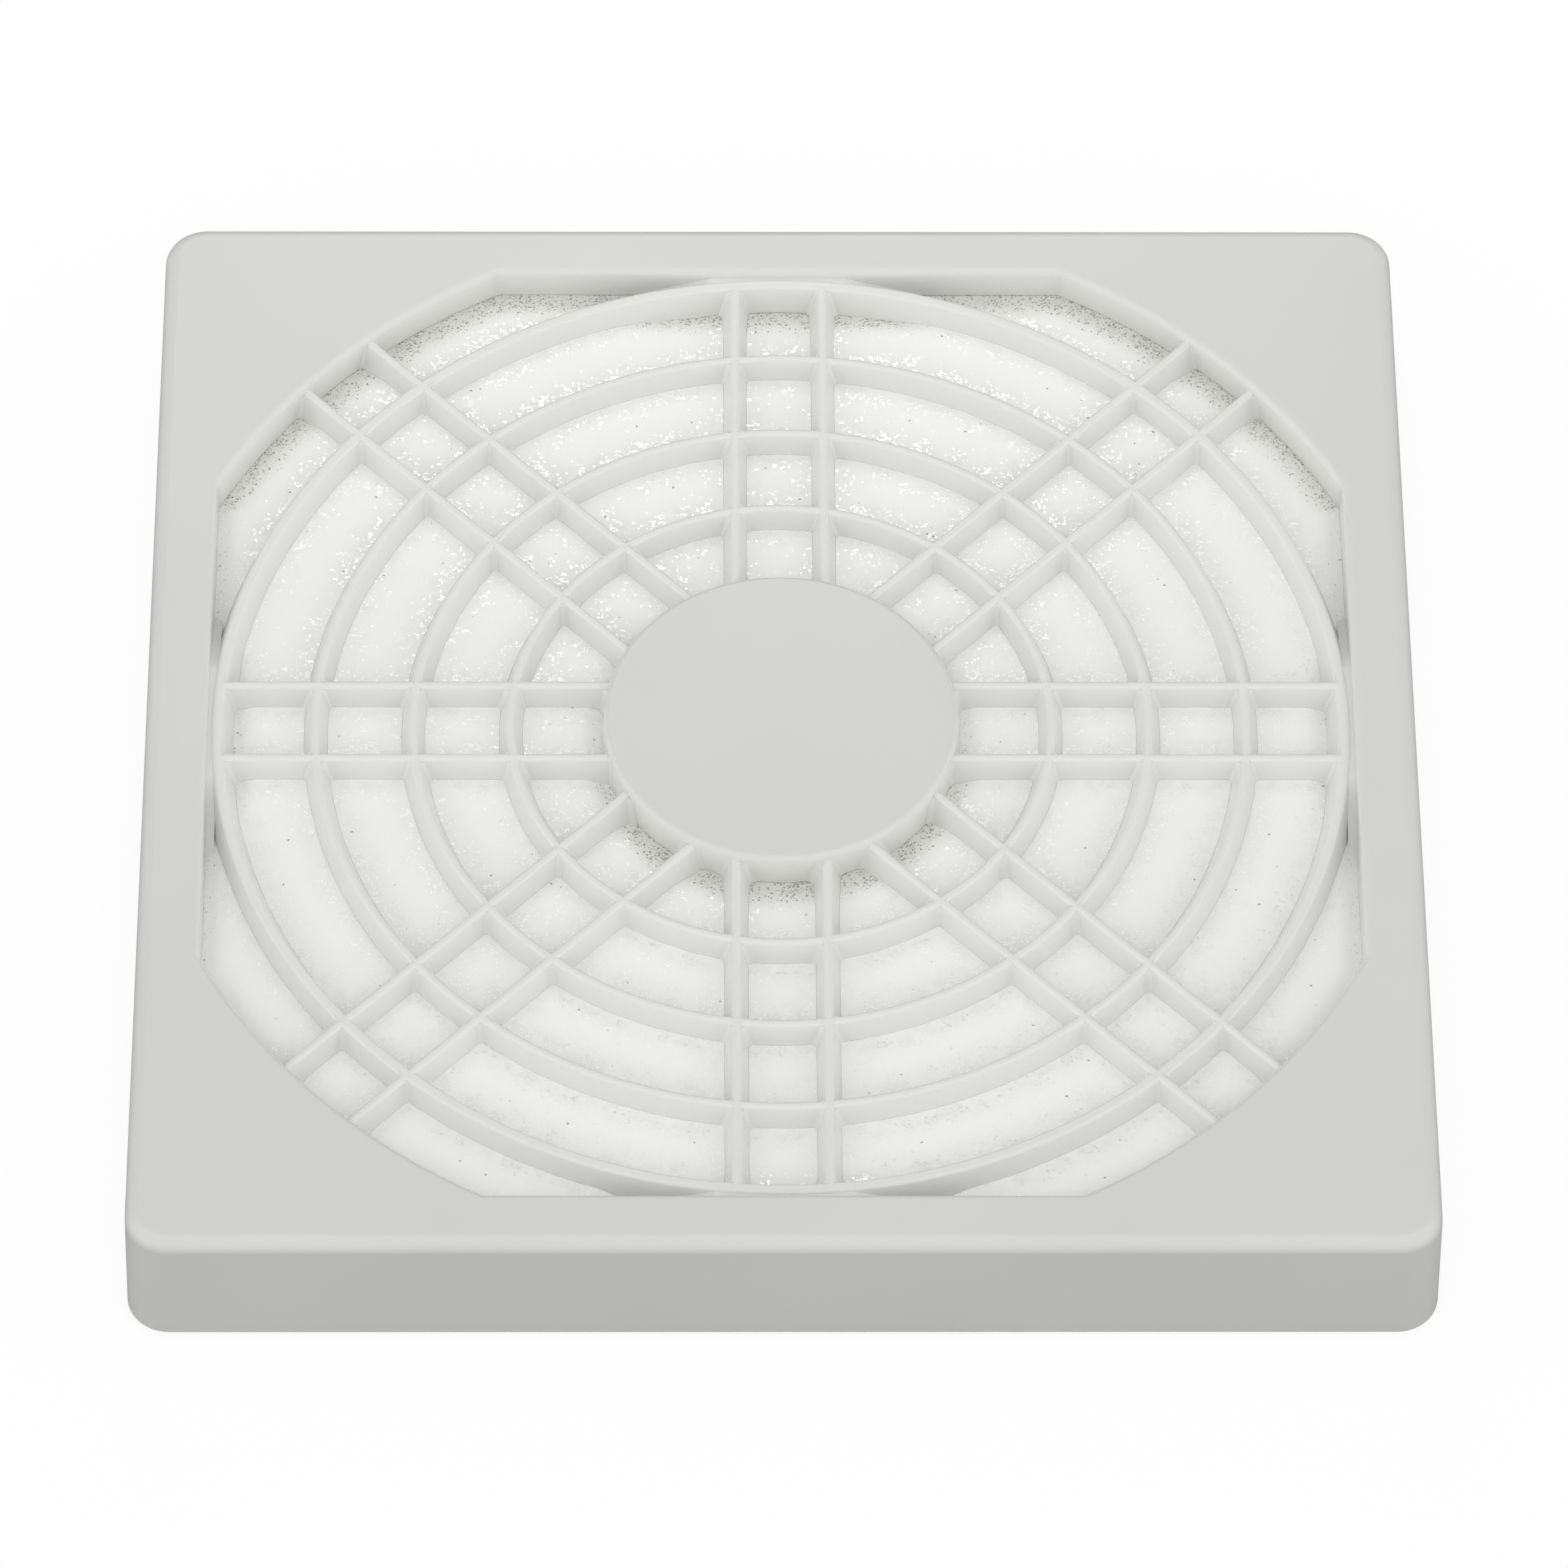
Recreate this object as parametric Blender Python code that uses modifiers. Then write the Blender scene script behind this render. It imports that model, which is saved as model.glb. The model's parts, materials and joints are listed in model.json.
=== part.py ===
"""A square filter guard for an 80 mm fan. A moulded cover, with a grille of rings and paired spokes,
snaps over a base guard that is screwed to the fan, and a foam pad is held between the two. The back
lies on z = 0, centred on the fan's axis, and the grille faces +Z. All sizes are in metres."""

import math

import bmesh
import bpy

# Outer cover: a shallow square tray that is open at the back
COVER_WIDTH = 0.0850
COVER_TOP = 0.0100
COVER_LIFT = 0.0003
COVER_CORNER_RADIUS = 0.0028
COVER_EDGE_RADIUS = 0.0010
COVER_WALL = 0.0016
COVER_FACE = 0.0018
SIDE_DRAFT = math.radians(1.5)

# Opening in the cover's face: a circle whose four sides are cut flat, with a lip hanging round it.
# The frame is narrowest beside the flats, and the arcs lie outside the outer ring by the corner gap.
FRAME_MARGIN = 0.00435
CORNER_GAP = 0.00525
OPENING_EDGE_RADIUS = 0.0005
OPENING_DRAFT = math.radians(3)
LIP_WALL = 0.0014

# Grille in the opening: evenly spaced rings and pairs of spokes round a plain hub
RIB_HEIGHT = 0.0019
RIB_SET_BACK = 0.0005
RIB_TOP_WIDTH = 0.0005
RIB_DRAFT = math.radians(19)
RIB_EDGE_BEVEL = 0.00012
RING_COUNT = 4
OUTER_RING_INSET = 0.00065
OUTER_RING_TOP_WIDTH = 0.0007
SPOKE_PAIRS = 8
SPOKE_SPACING = 0.0060
HUB_RADIUS = 0.0118
HUB_GAP = 0.0062
HUB_EDGE_RADIUS = 0.0004
HUB_DRAFT = math.radians(4)
HUB_FACE = 0.0016
HUB_WALL = 0.0014

# Base guard: a tray with four upright walls and a plain ring and spoke grid
BASE_CLEARANCE = 0.0010
BASE_PLATE = 0.0020
BASE_CORNER_RADIUS = 0.0022
UPRIGHT_WALL = 0.0012
AIRWAY_LEDGE = 0.0017
GRID_RECESS = 0.0004
GRID_RIB_WIDTH = 0.0015
GRID_SPOKES = 8
GRID_HUB_STEP = 0.0008
GRID_DRAFT = math.radians(4)

# Countersunk screw holes in the base's corners. The inset puts them at the fan's pitch of 71.5 mm.
SCREW_INSET = 0.00415
SCREW_HOLE_RADIUS = 0.0022
SCREW_HEAD_RADIUS = 0.0038
SCREW_HEAD_DEPTH = 0.0013
SCREW_ROOM = 0.0016

# Snaps: a tongue in each upright wall has a hook that catches over a bead inside the cover
TONGUE_WIDTH = 0.0120
TONGUE_SLOT = 0.0010
HOOK_BOTTOM = 0.0046
SNAP_HEIGHT = 0.0013
SNAP_FLAT = 0.0004

# Foam pad
FOAM_THICKNESS = 0.0050
FOAM_CORNER_RADIUS = 0.0010

# Space that neighbouring pieces keep
SEAT_GAP = 0.0003

# Facets of the round forms
CORNER_SEGMENTS = 6
EDGE_SEGMENTS = 4
OPENING_ARC_SEGMENTS = 14
LONGEST_FACET = 0.0022
HUB_FACET_BOOST = 1.6
FEWEST_FACETS = 24

# A cutter runs this far past what it cuts, and joined shapes overlap by this much
PAST = 0.0010
OVERLAP = 0.0004
SAME_LEVEL = 1e-7
MERGE_DISTANCE = 1e-6

# Levels that follow from the sizes above
RIB_TOP = COVER_TOP - RIB_SET_BACK
RIB_BOTTOM = RIB_TOP - RIB_HEIGHT
FACE_UNDERSIDE = COVER_TOP - COVER_FACE
FOAM_TOP = RIB_BOTTOM - SEAT_GAP
BASE_TOP = RIB_BOTTOM - SEAT_GAP

# Half widths at z = 0 that follow from the sizes above
COVER_HALF = COVER_WIDTH / 2
COVER_INNER_HALF = COVER_HALF - COVER_WALL
OPENING_HALF_WIDTH = COVER_HALF - FRAME_MARGIN
BASE_HALF = COVER_INNER_HALF - BASE_CLEARANCE
POCKET_HALF = BASE_HALF - UPRIGHT_WALL
SCREW_PLACE = BASE_HALF - SCREW_INSET
SNAP_REACH = BASE_CLEARANCE - SEAT_GAP

# Radii that follow from the sizes above
OUTER_RING_RADIUS = OPENING_HALF_WIDTH - OUTER_RING_INSET
OPENING_RADIUS = OUTER_RING_RADIUS + CORNER_GAP
FIRST_RING_RADIUS = HUB_RADIUS + HUB_GAP
RING_PITCH = (OUTER_RING_RADIUS - FIRST_RING_RADIUS) / (RING_COUNT - 1)
RING_RADII = [FIRST_RING_RADIUS + count * RING_PITCH for count in range(RING_COUNT)]
AIRWAY_RADIUS = POCKET_HALF - AIRWAY_LEDGE
GRID_HUB_RADIUS = HUB_RADIUS - GRID_HUB_STEP

QUARTER_TURNS = [math.radians(90 * side) for side in range(4)]

LIGHT_GREY_PLASTIC = ((0.66, 0.66, 0.65), 0.45)
WHITE_FOAM = ((0.86, 0.86, 0.84), 0.95)


def clear_scene():
    for old in list(bpy.data.objects):
        bpy.data.objects.remove(old)


def new_collection(name, parent=None):
    made = bpy.data.collections.new(name)
    (parent or bpy.context.scene.collection).children.link(made)
    return made


def plain_material(name, colour_and_roughness):
    colour, roughness = colour_and_roughness
    made = bpy.data.materials.new(name)
    made.use_nodes = True
    shader = made.node_tree.nodes["Principled BSDF"]
    shader.inputs["Base Color"].default_value = (*colour, 1.0)
    shader.inputs["Roughness"].default_value = roughness
    shader.inputs["Metallic"].default_value = 0.0
    return made


def mesh_object(bm, name, collection):
    """Turns a bmesh into an object in a collection."""
    mesh = bpy.data.meshes.new(name)
    bm.to_mesh(mesh)
    bm.free()
    made = bpy.data.objects.new(name, mesh)
    collection.objects.link(made)
    return made


def helper(made, angle=0.0):
    """Turns a shape about the fan's axis, and hides it because it only cuts or joins another."""
    made.rotation_euler.z = angle
    made.hide_render = True
    made.display_type = "WIRE"
    return made


def combine(target, operation, shapes):
    """Cuts or joins every shape of a collection with exact Booleans."""
    step = target.modifiers.new(f"{operation.lower()} {shapes.name}", "BOOLEAN")
    step.operand_type = "COLLECTION"
    step.collection = shapes
    step.operation = operation
    step.solver = "EXACT"


# Forms that the pieces share


def level_edges(bm, level):
    return [edge for edge in bm.edges if all(abs(v.co.z - level) < SAME_LEVEL for v in edge.verts)]


def bevel(bm, edges, radius, segments):
    bmesh.ops.bevel(
        bm, geom=edges, offset=radius, segments=segments, profile=0.5, affect="EDGES", material=-1
    )


def square_block(name, half_width, bottom, top, corner_radius, collection, draft=0.0, edge_radius=0.0):
    """A square block with round corners. It narrows upwards, and half_width is its size at z = 0."""
    bm = bmesh.new()
    bmesh.ops.create_cube(bm, size=2.0)
    for vert in bm.verts:
        level = top if vert.co.z > 0 else bottom
        reach = half_width - level * math.tan(draft)
        vert.co = (reach * vert.co.x, reach * vert.co.y, level)
    flat = set(level_edges(bm, top) + level_edges(bm, bottom))
    bevel(bm, [edge for edge in bm.edges if edge not in flat], corner_radius, CORNER_SEGMENTS)
    if edge_radius > 0:
        bevel(bm, level_edges(bm, top), edge_radius, EDGE_SEGMENTS)
    bmesh.ops.recalc_face_normals(bm, faces=bm.faces)
    return mesh_object(bm, name, collection)


def block(name, lowest, highest, collection):
    """A plain box between two corners."""
    bm = bmesh.new()
    bmesh.ops.create_cube(bm, size=1.0)
    sizes = [high - low for low, high in zip(lowest, highest)]
    middle = [(high + low) / 2 for low, high in zip(lowest, highest)]
    bmesh.ops.scale(bm, vec=sizes, verts=bm.verts)
    bmesh.ops.translate(bm, vec=middle, verts=bm.verts)
    return mesh_object(bm, name, collection)


def turned(name, profile, facets, collection, closed=True):
    """Turns (radius, height) points about Z. They run down the outer side, and back up the inner."""
    bm = bmesh.new()
    points = [bm.verts.new((radius, 0.0, height)) for radius, height in profile]
    following = points[1:] + points[:1] if closed else points[1:]
    for start, end in zip(points, following):
        bm.edges.new((start, end))
    made = mesh_object(bm, name, collection)
    turn = made.modifiers.new("turn", "SCREW")
    turn.steps = facets
    turn.render_steps = facets
    turn.use_merge_vertices = True
    turn.merge_threshold = MERGE_DISTANCE
    return made


def prism(name, section, start, end, collection):
    """Extrudes a section of (across, height) points along X."""
    bm = bmesh.new()
    face = bm.faces.new([bm.verts.new((start, across, height)) for across, height in section])
    pulled = bmesh.ops.extrude_face_region(bm, geom=[face], use_keep_orig=True)
    moved = [item for item in pulled["geom"] if isinstance(item, bmesh.types.BMVert)]
    bmesh.ops.translate(bm, vec=(end - start, 0.0, 0.0), verts=moved)
    bmesh.ops.recalc_face_normals(bm, faces=bm.faces)
    return mesh_object(bm, name, collection)


def loft(name, outlines, collection):
    """Bridges a stack of outlines, lowest first, and closes both ends."""
    bm = bmesh.new()
    rims = []
    for outline in outlines:
        points = [bm.verts.new(point) for point in outline]
        rims.append([bm.edges.new(pair) for pair in zip(points, points[1:] + points[:1])])
    for lower, upper in zip(rims, rims[1:]):
        bmesh.ops.bridge_loops(bm, edges=lower + upper)
    bmesh.ops.edgeloop_fill(bm, edges=rims[0] + rims[-1])
    bmesh.ops.recalc_face_normals(bm, faces=bm.faces)
    return mesh_object(bm, name, collection)


def flat_sided_circle(radius, half_width, height):
    """Four arcs of one circle. Their ends meet the four flats at half_width."""
    flat = math.acos(half_width / radius)
    sweep = (math.pi / 2 - 2 * flat) / OPENING_ARC_SEGMENTS
    steps = [flat + sweep * step for step in range(OPENING_ARC_SEGMENTS + 1)]
    turns = [side + step for side in QUARTER_TURNS for step in steps]
    return [(radius * math.cos(turn), radius * math.sin(turn), height) for turn in turns]


def opening_outline(offset, height):
    """The opening's outline at one level, pushed outwards by an offset."""
    return flat_sided_circle(OPENING_RADIUS + offset, OPENING_HALF_WIDTH + offset, height)


def rib_section(top_width, bottom, top, draft, edge_bevel=0.0):
    """A rib's section as (across, height) points, down one flank and up the other."""
    half = top_width / 2
    foot = half + (top - bottom) * math.tan(draft)
    flank = [(half, top), (foot, bottom)]
    if edge_bevel > 0:
        shoulder = half + edge_bevel * math.tan(draft)
        flank = [(half - edge_bevel, top), (shoulder, top - edge_bevel), (foot, bottom)]
    return flank + [(-across, height) for across, height in reversed(flank)]


def facets_round(radius):
    """A number of facets that gives the same corners on all eight sides."""
    return max(FEWEST_FACETS, 8 * math.ceil(2 * math.pi * radius / LONGEST_FACET / 8))


def quarter_round(radius):
    """A rounded edge's points, as (sideways, upwards) from where it leaves the upright side."""
    angles = [math.radians(90) * step / EDGE_SEGMENTS for step in range(EDGE_SEGMENTS + 1)]
    return [(radius * (1 - math.cos(angle)), radius * math.sin(angle)) for angle in angles]


def ring(name, radius, section, collection):
    """A rib that runs round the fan's axis."""
    profile = [(radius + across, height) for across, height in section]
    return helper(turned(name, profile, facets_round(radius), collection))


def along_chord(radius, offset):
    """How far out a line at this offset from the axis meets a circle."""
    return math.sqrt(radius**2 - offset**2)


# Outer cover


def cover_lip(helpers):
    """A wall that hangs round the opening, down to the feet of the ribs."""
    shapes = new_collection("cover lip", helpers)
    levels = [RIB_BOTTOM, FACE_UNDERSIDE + OVERLAP]
    helper(loft("lip", [opening_outline(LIP_WALL, level) for level in levels], shapes))
    return shapes


def cover_opening(helpers):
    """The opening's cutter, which flares at the face to leave a rounded edge there."""
    shapes = new_collection("cover opening", helpers)
    straight = COVER_TOP - OPENING_EDGE_RADIUS
    low = RIB_BOTTOM - PAST
    outlines = [opening_outline((low - straight) * math.tan(OPENING_DRAFT), low)]
    outlines += [opening_outline(out, straight + rise) for out, rise in quarter_round(OPENING_EDGE_RADIUS)]
    outlines.append(opening_outline(OPENING_EDGE_RADIUS, COVER_TOP + PAST))
    helper(loft("opening", outlines, shapes))
    return shapes


def grille_hub(collection):
    """The disc in the middle of the grille, hollow at the back."""
    straight = COVER_TOP - HUB_EDGE_RADIUS
    foot = HUB_RADIUS + (straight - RIB_BOTTOM) * math.tan(HUB_DRAFT)
    hollow = HUB_RADIUS - HUB_WALL
    roof = COVER_TOP - HUB_FACE
    edge = [(HUB_RADIUS - inwards, straight + rise) for inwards, rise in quarter_round(HUB_EDGE_RADIUS)]
    profile = [(0.0, COVER_TOP)] + edge[::-1]
    profile += [(foot, RIB_BOTTOM), (hollow, RIB_BOTTOM), (hollow, roof), (0.0, roof)]
    facets = facets_round(HUB_FACET_BOOST * HUB_RADIUS)
    return helper(turned("grille hub", profile, facets, collection, closed=False))


def grille_spokes(collection):
    """Pairs of parallel spokes. Every second pair runs past the outer ring to the cover's corners."""
    section = rib_section(RIB_TOP_WIDTH, RIB_BOTTOM, RIB_TOP, RIB_DRAFT, RIB_EDGE_BEVEL)
    offset = SPOKE_SPACING / 2
    start = along_chord(HUB_RADIUS - HUB_WALL / 2, offset)
    ends = (OUTER_RING_RADIUS, OPENING_RADIUS + LIP_WALL / 2)
    reaches = [along_chord(end, offset) for end in ends]
    for pair in range(SPOKE_PAIRS):
        angle = 2 * math.pi * pair / SPOKE_PAIRS
        for side in (-1, 1):
            shifted = [(across + side * offset, height) for across, height in section]
            spoke = prism(f"spoke {pair} {side}", shifted, start, reaches[pair % 2], collection)
            helper(spoke, angle)


def cover_grille(helpers):
    shapes = new_collection("cover grille", helpers)
    widths = [RIB_TOP_WIDTH] * (RING_COUNT - 1) + [OUTER_RING_TOP_WIDTH]
    for radius, width in zip(RING_RADII, widths):
        section = rib_section(width, RIB_BOTTOM, RIB_TOP, RIB_DRAFT, RIB_EDGE_BEVEL)
        ring(f"grille ring {radius:.4f}", radius, section, shapes)
    grille_spokes(shapes)
    grille_hub(shapes)
    return shapes


def cover_beads(helpers):
    """A ridge inside each wall. Its flat top lies under a hook of the base."""
    shapes = new_collection("cover beads", helpers)
    top = HOOK_BOTTOM - SEAT_GAP
    wall = COVER_INNER_HALF - top * math.tan(SIDE_DRAFT)
    tip = wall - SNAP_REACH
    root = wall + OVERLAP
    low = top - SNAP_HEIGHT
    section = [(root, top), (tip, top), (tip, top - SNAP_FLAT), (wall, low), (root, low)]
    for side, angle in enumerate(QUARTER_TURNS):
        helper(prism(f"bead {side}", section, -TONGUE_WIDTH / 2, TONGUE_WIDTH / 2, shapes), angle)
    return shapes


def outer_cover(collection, helpers):
    cover = square_block(
        "outer_cover", COVER_HALF, COVER_LIFT, COVER_TOP, COVER_CORNER_RADIUS, collection,
        draft=SIDE_DRAFT, edge_radius=COVER_EDGE_RADIUS,
    )
    hollow = new_collection("cover hollow", helpers)
    corner = COVER_CORNER_RADIUS - COVER_WALL
    helper(square_block(
        "hollow", COVER_INNER_HALF, COVER_LIFT - PAST, FACE_UNDERSIDE, corner, hollow, draft=SIDE_DRAFT
    ))
    combine(cover, "DIFFERENCE", hollow)
    combine(cover, "UNION", cover_lip(helpers))
    combine(cover, "DIFFERENCE", cover_opening(helpers))
    combine(cover, "UNION", cover_grille(helpers))
    combine(cover, "UNION", cover_beads(helpers))
    return cover


# Base guard


def base_pocket(helpers):
    """Leaves four upright walls on the plate, open at the corners and slotted beside each tongue."""
    shapes = new_collection("base pocket", helpers)
    high = BASE_TOP + PAST
    helper(square_block("pocket", POCKET_HALF, BASE_PLATE, high, FOAM_CORNER_RADIUS, shapes))
    wall_end = SCREW_PLACE - SCREW_HEAD_RADIUS - SCREW_ROOM
    slot = TONGUE_WIDTH / 2
    for turn, angle in enumerate(QUARTER_TURNS):
        lowest = (wall_end, wall_end, BASE_PLATE)
        highest = (BASE_HALF + PAST, BASE_HALF + PAST, high)
        helper(block(f"corner {turn}", lowest, highest, shapes), angle)
        for side in (-1, 1):
            ends = sorted((side * slot, side * (slot + TONGUE_SLOT)))
            lowest = (ends[0], POCKET_HALF - PAST, BASE_PLATE)
            highest = (ends[1], BASE_HALF + PAST, high)
            helper(block(f"slot {turn} {side}", lowest, highest, shapes), angle)
    return shapes


def base_holes(helpers):
    """The airway and the countersunk screw holes."""
    shapes = new_collection("base holes", helpers)
    high = BASE_PLATE + PAST
    airway = [(0.0, high), (AIRWAY_RADIUS, high), (AIRWAY_RADIUS, -PAST), (0.0, -PAST)]
    helper(turned("airway", airway, facets_round(AIRWAY_RADIUS), shapes, closed=False))
    profile = [
        (0.0, high),
        (SCREW_HEAD_RADIUS, high),
        (SCREW_HEAD_RADIUS, BASE_PLATE),
        (SCREW_HOLE_RADIUS, BASE_PLATE - SCREW_HEAD_DEPTH),
        (SCREW_HOLE_RADIUS, -PAST),
        (0.0, -PAST),
    ]
    for x_side in (-1, 1):
        for y_side in (-1, 1):
            facets = facets_round(SCREW_HEAD_RADIUS)
            hole = turned(f"screw hole {x_side} {y_side}", profile, facets, shapes, closed=False)
            hole.location = (x_side * SCREW_PLACE, y_side * SCREW_PLACE, 0.0)
            helper(hole)
    return shapes


def base_grid(helpers):
    """Rings and spokes across the airway, in line with the cover's rings and clear of the fan."""
    shapes = new_collection("base grid", helpers)
    section = rib_section(GRID_RIB_WIDTH, GRID_RECESS, BASE_PLATE, GRID_DRAFT)
    for radius in RING_RADII[:-1]:
        ring(f"grid ring {radius:.4f}", radius, section, shapes)
    radius = GRID_HUB_RADIUS
    hub = [(0.0, BASE_PLATE), (radius, BASE_PLATE), (radius, GRID_RECESS), (0.0, GRID_RECESS)]
    helper(turned("grid hub", hub, facets_round(HUB_FACET_BOOST * radius), shapes, closed=False))
    for count in range(GRID_SPOKES):
        start = GRID_HUB_RADIUS - OVERLAP
        spoke = prism(f"grid spoke {count}", section, start, AIRWAY_RADIUS + OVERLAP, shapes)
        helper(spoke, 2 * math.pi * count / GRID_SPOKES)
    return shapes


def base_hooks(helpers):
    """A hook on each tongue, with a flat underside and a slope that leads the cover on."""
    shapes = new_collection("base hooks", helpers)
    wall = BASE_HALF - HOOK_BOTTOM * math.tan(SIDE_DRAFT)
    tip = wall + SNAP_REACH
    root = wall - OVERLAP
    low = HOOK_BOTTOM
    top = low + SNAP_HEIGHT
    section = [(root, low), (tip, low), (tip, low + SNAP_FLAT), (wall, top), (root, top)]
    for side, angle in enumerate(QUARTER_TURNS):
        helper(prism(f"hook {side}", section, -TONGUE_WIDTH / 2, TONGUE_WIDTH / 2, shapes), angle)
    return shapes


def base_guard(collection, helpers):
    base = square_block(
        "base_guard", BASE_HALF, 0.0, BASE_TOP, BASE_CORNER_RADIUS, collection, draft=SIDE_DRAFT
    )
    combine(base, "DIFFERENCE", base_pocket(helpers))
    combine(base, "DIFFERENCE", base_holes(helpers))
    combine(base, "UNION", base_grid(helpers))
    combine(base, "UNION", base_hooks(helpers))
    return base


# Foam pad


def foam_pad(collection):
    """Lies in the base's tray, under the grille."""
    half_width = POCKET_HALF - SEAT_GAP
    return square_block(
        "foam_pad", half_width, FOAM_TOP - FOAM_THICKNESS, FOAM_TOP, FOAM_CORNER_RADIUS, collection
    )


def settle(piece, material):
    """Applies the Booleans, welds the mesh, and shades the round faces smooth."""
    evaluated = piece.evaluated_get(bpy.context.evaluated_depsgraph_get())
    mesh = bpy.data.meshes.new_from_object(evaluated)
    bm = bmesh.new()
    bm.from_mesh(mesh)
    bmesh.ops.remove_doubles(bm, verts=bm.verts, dist=MERGE_DISTANCE)
    bm.to_mesh(mesh)
    bm.free()
    piece.modifiers.clear()
    piece.data = mesh
    mesh.name = piece.name
    mesh.materials.clear()
    mesh.materials.append(material)
    mesh.shade_smooth()
    mesh.set_sharp_from_angle(angle=math.radians(30))


def main():
    clear_scene()
    guard = new_collection("fan_grille")
    helpers = new_collection("cutters")
    plastic = plain_material("light_grey_plastic", LIGHT_GREY_PLASTIC)
    foam = plain_material("white_foam", WHITE_FOAM)
    settle(outer_cover(guard, helpers), plastic)
    settle(base_guard(guard, helpers), plastic)
    settle(foam_pad(guard), foam)


main()
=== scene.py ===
# %% [markdown]
# # A fan's filter guard
# This lesson dresses a square guard for a small fan. The real one comes apart into a moulded cover with
# a grille, a soft foam pad and a moulded base. Their places and sizes come from a fixed frame of plain
# solids, which stays as it is. The lesson makes the finer surfaces around it, in metres, with +Z up.

# %% Load the fixed frame
import json
import math

import bmesh
import bpy
import numpy as np
from mathutils import Matrix, Vector, noise

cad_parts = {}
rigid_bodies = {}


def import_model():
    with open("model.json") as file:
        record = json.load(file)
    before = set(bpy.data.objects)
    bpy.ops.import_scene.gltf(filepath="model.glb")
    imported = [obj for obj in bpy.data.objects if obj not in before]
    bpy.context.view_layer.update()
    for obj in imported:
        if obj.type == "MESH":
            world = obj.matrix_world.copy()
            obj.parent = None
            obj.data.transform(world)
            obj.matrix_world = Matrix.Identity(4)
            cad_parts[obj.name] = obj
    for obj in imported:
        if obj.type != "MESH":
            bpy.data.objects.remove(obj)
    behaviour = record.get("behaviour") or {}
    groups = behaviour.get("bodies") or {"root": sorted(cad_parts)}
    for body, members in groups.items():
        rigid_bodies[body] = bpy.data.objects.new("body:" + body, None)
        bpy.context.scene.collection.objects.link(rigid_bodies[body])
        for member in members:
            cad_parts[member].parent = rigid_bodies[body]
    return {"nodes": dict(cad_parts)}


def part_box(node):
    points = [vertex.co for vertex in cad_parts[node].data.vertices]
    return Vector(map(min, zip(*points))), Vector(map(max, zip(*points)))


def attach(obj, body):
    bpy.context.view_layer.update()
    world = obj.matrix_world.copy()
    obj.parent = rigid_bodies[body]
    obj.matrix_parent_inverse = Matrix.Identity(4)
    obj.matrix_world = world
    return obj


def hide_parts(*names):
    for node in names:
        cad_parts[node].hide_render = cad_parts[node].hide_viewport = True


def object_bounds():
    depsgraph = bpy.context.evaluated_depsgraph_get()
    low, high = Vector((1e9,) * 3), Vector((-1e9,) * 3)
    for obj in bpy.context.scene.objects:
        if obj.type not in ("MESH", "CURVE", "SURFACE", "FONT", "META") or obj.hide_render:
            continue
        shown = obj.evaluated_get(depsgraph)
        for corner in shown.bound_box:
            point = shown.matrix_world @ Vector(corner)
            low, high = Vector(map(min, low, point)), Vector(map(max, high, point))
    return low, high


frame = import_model()
frame_low, frame_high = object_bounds()
MM = 0.001
print("frame", [round((high - low) / MM, 2) for low, high in zip(frame_low, frame_high)], "mm")

# %% [markdown]
# ## The camera
# The guard was photographed from the front and above, from far away with a long lens, so its sides
# hardly converge. The camera's height angle, distance and small tilt were worked out from the guard's
# own straight edges and round rings. The guard stays square to the axes, and the camera takes the turn.

# %% Place the camera
CAMERA_RISE = math.radians(53.71)
CAMERA_TURN = math.radians(0.903)
CAMERA_ROLL = math.radians(0.748)
CAMERA_DISTANCE = 635.0 * MM
CAMERA_RIGHT = 0.255 * MM
CAMERA_UP = 1.374 * MM
CAMERA_LENS = 216.4

right = Vector((1, 0, 0))
up = Vector((0, math.sin(CAMERA_RISE), math.cos(CAMERA_RISE)))
forward = Vector((0, math.cos(CAMERA_RISE), -math.sin(CAMERA_RISE)))
stand = right * CAMERA_RIGHT + up * CAMERA_UP - forward * CAMERA_DISTANCE
axes = Matrix((right, up, -forward)).transposed().to_4x4()

camera_data = bpy.data.cameras.new("camera")
camera_data.lens = CAMERA_LENS
camera_data.sensor_width = 36
camera_data.clip_start = 0.01
camera = bpy.data.objects.new("camera", camera_data)
bpy.context.scene.collection.objects.link(camera)
roll = Matrix.Rotation(CAMERA_ROLL, 4, "Z")
camera.matrix_world = Matrix.Rotation(-CAMERA_TURN, 4, "Z") @ Matrix.Translation(stand) @ axes @ roll
bpy.context.scene.camera = camera
print("camera at", [round(value, 3) for value in camera.matrix_world.translation])

# %% [markdown]
# ## Helpers for materials
# A finish is a small network of nodes. These helpers add a node, set its values and join it to others,
# so that each finish below reads as a short list of what the surface does.

# %% Node helpers
def new_material(name):
    material = bpy.data.materials.new(name)
    material.use_nodes = True
    return material, material.node_tree


def add_node(tree, kind, values=None, **settings):
    node = tree.nodes.new(kind)
    for key, value in settings.items():
        setattr(node, key, value)
    for key, value in (values or {}).items():
        if isinstance(value, bpy.types.NodeSocket):
            tree.links.new(value, node.inputs[key])
        else:
            node.inputs[key].default_value = value
    return node


def mixed(tree, share, first, second):
    """A colour between two others."""
    node = add_node(tree, "ShaderNodeMix", data_type="RGBA")
    for socket, value in ((node.inputs[0], share), (node.inputs[6], first), (node.inputs[7], second)):
        if isinstance(value, bpy.types.NodeSocket):
            tree.links.new(value, socket)
        else:
            socket.default_value = value
    return node.outputs[2]


def ranged(tree, value, low, high, out_low, out_high, smooth=False):
    """A value moved from one range to another, and held inside it."""
    kind = "SMOOTHSTEP" if smooth else "LINEAR"
    values = {"Value": value, "From Min": low, "From Max": high, "To Min": out_low, "To Max": out_high}
    return add_node(tree, "ShaderNodeMapRange", values, interpolation_type=kind).outputs["Result"]


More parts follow.
